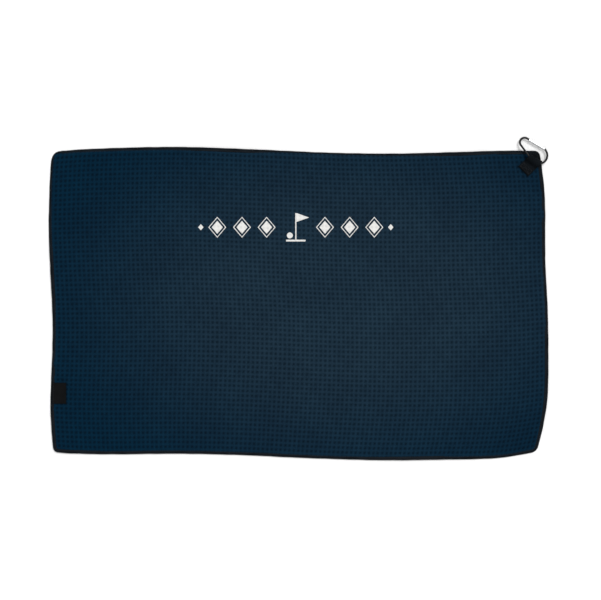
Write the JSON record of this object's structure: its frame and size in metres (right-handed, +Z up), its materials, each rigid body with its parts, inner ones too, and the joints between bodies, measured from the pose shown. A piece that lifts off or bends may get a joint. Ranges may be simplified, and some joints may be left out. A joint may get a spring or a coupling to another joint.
{
  "type": "golf towel",
  "caption": "Bound waffle-weave golf towel lying flat, with a webbing corner loop, a snap carabiner with a sprung gate and a folded side label.",
  "frame": {"origin": "centre of the towel's nominal rectangle, on the plane it lies on", "axes": "+X along the towel's long side towards the carabiner corner, +Y towards the side with the carabiner, +Z up"},
  "size_m": [0.6686, 0.4327, 0.0122],
  "materials": {
    "cloth": "waffle-weave microfibre, navy",
    "binding": "ribbed woven tape, black",
    "thread": "twisted polyester sewing thread, black",
    "webbing": "herringbone webbing, black",
    "label_tape": "satin woven tape, black",
    "print_ink": "matt textile print, off-white",
    "black_metal": "black anodised aluminium, satin",
    "silver_metal": "bright drawn aluminium",
    "pin_steel": "bright steel wire",
    "plunger_brass": "turned brass"
  },
  "bodies": {
    "towel": {"waffle_cloth": "cloth", "edge_binding": "binding", "binding_needle_thread": "thread", "binding_bobbin_thread": "thread", "corner_patch": "webbing", "carabiner_strap": "webbing", "strap_stitching": "thread", "printed_motif": "print_ink"},
    "label": {"care_label": "label_tape"},
    "carabiner": {"carabiner_body": "black_metal"},
    "gate": {"carabiner_gate": "silver_metal", "gate_pivot_pin": "pin_steel", "gate_latch_pin": "pin_steel", "gate_spring": "pin_steel", "gate_plunger": "plunger_brass"}
  },
  "joints": [
    {"name": "label_flap", "type": "hinge", "parent": "towel", "child": "label", "pos_m": [-0.3276, -0.12, 0.00275], "axis": [0, -1, 0], "range_deg": [0, 120]},
    {"name": "carabiner_swing", "type": "hinge", "parent": "towel", "child": "carabiner", "pos_m": [0.3143, 0.1909, 0.00745], "axis": [0.8581, -0.5135, 0], "range_deg": [0, 165]},
    {"name": "gate_open", "type": "hinge", "parent": "carabiner", "child": "gate", "pos_m": [0.30885, 0.2184, 0.00453], "axis": [-0.0715, -0.1194, -0.9903], "range_deg": [0, 25], "stiffness_Nm_per_rad": 0.07, "springref_deg": -22.92}
  ]
}
